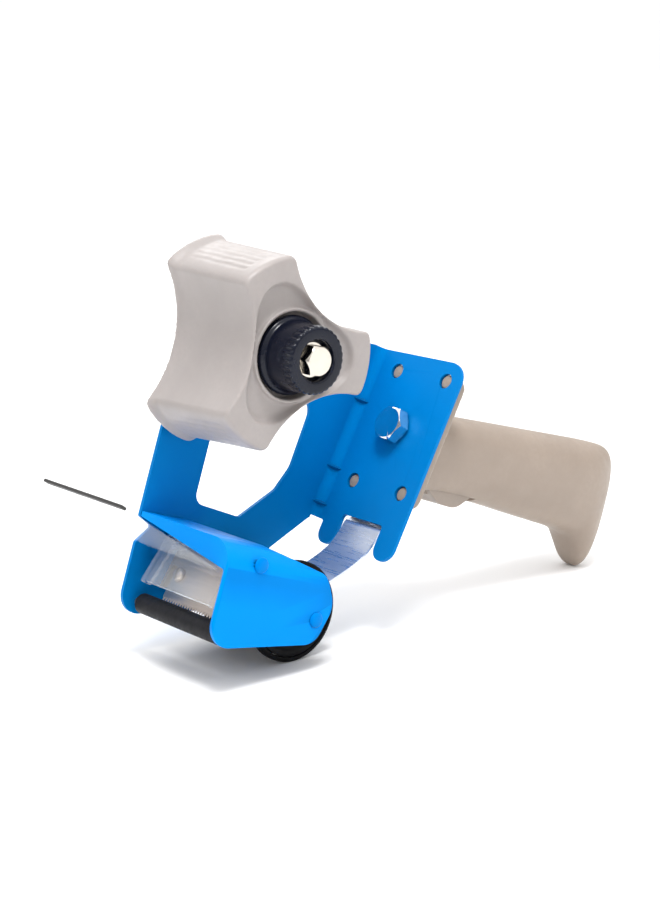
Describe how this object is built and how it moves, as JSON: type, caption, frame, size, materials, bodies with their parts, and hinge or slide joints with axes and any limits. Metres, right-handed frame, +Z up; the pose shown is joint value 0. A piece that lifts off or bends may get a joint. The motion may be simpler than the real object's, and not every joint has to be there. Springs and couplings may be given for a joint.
{
  "type": "tape gun dispenser",
  "caption": "Hand-held tape gun: folded steel frame, pistol handle, three-armed tape hub with tension knob, press wheels, roller, blade with a clear sprung guard, and finger brake.",
  "frame": {"origin": "middle of the bounding box's base, on the floor the gun stands on", "axes": "+X forward towards the tape outlet, +Y from the side plate towards the open side and the knob, +Z up; the gun stands on its press wheels and the heel of its handle"},
  "size_m": [0.2704, 0.0688, 0.1576],
  "materials": {
    "blue_paint": "semi-gloss powder coat",
    "bright_blue_paint": "semi-gloss powder coat",
    "beige_plastic": "fine moulded grain",
    "navy_plastic": "moulded gloss",
    "chrome": "bright plated",
    "steel": "drawn",
    "black_rubber": "matt",
    "dark_plastic": "moulded",
    "clear_plastic": "clear",
    "brass": "machined"
  },
  "bodies": {
    "frame": {"side_plate": "blue_paint", "head_cover": "bright_blue_paint", "handle": "beige_plastic", "handle_bolt": "chrome", "handle_insert": "brass", "brake_pin": "steel", "trigger_pin": "steel", "hub_spindle": "steel", "hub_spacer": "steel", "front_roller_axle": "steel", "far_wheel_spacer": "dark_plastic", "near_wheel_spacer": "dark_plastic", "wheel_axle": "bright_blue_paint", "guard_rod": "bright_blue_paint", "blade_carrier": "steel", "blade": "steel", "far_blade_screw": "steel", "near_blade_screw": "steel", "guard_spring": "steel"},
    "hub": {"hub": "beige_plastic", "hub_bush": "dark_plastic", "friction_washer": "dark_plastic"},
    "knob": {"knob": "navy_plastic", "knob_washer": "chrome", "knob_nut": "chrome", "tension_spring": "steel"},
    "front_roller": {"front_roller_sleeve": "black_rubber", "front_roller_core": "dark_plastic"},
    "press_wheels": {"wheel_drum": "dark_plastic", "far_tyre": "black_rubber", "near_tyre": "black_rubber"},
    "guard": {"guard": "clear_plastic", "guard_flap": "clear_plastic", "flap_edge": "dark_plastic"},
    "trigger": {"trigger": "beige_plastic"},
    "brake": {"brake_strip": "chrome"}
  },
  "joints": [
    {"name": "hub_spin", "type": "hinge", "parent": "frame", "child": "hub", "pos_m": [0.05699, -0.00505, 0.11781], "axis": [0, 1, 0], "continuous": true},
    {"name": "knob_turn", "type": "hinge", "parent": "frame", "child": "knob", "pos_m": [0.05699, 0.02145, 0.11781], "axis": [0, 1, 0], "range_deg": [-180, 180]},
    {"name": "roller_spin", "type": "hinge", "parent": "frame", "child": "front_roller", "pos_m": [0.09389, -0.00505, 0.02138], "axis": [0, 1, 0], "continuous": true},
    {"name": "wheel_spin", "type": "hinge", "parent": "frame", "child": "press_wheels", "pos_m": [0.05401, -0.00505, 0.01937], "axis": [0, 1, 0], "continuous": true},
    {"name": "guard_swing", "type": "hinge", "parent": "frame", "child": "guard", "pos_m": [0.07871, -0.00505, 0.04531], "axis": [0, 1, 0], "range_deg": [0, 14], "stiffness_Nm_per_rad": 0.02, "springref_deg": -14.32},
    {"name": "trigger_pull", "type": "hinge", "parent": "frame", "child": "trigger", "pos_m": [-0.02692, -0.00505, 0.0534], "axis": [0, 1, 0], "range_deg": [0, 5], "stiffness_Nm_per_rad": 0.05, "springref_deg": -5.73},
    {"name": "brake_press", "type": "hinge", "parent": "frame", "child": "brake", "pos_m": [-0.00333, -0.00505, 0.04324], "axis": [0, 1, 0], "range_deg": [-4, 0]}
  ],
  "couplings": [
    {"joint": "brake_press", "follows": "trigger_pull", "ratio": -0.8}
  ]
}
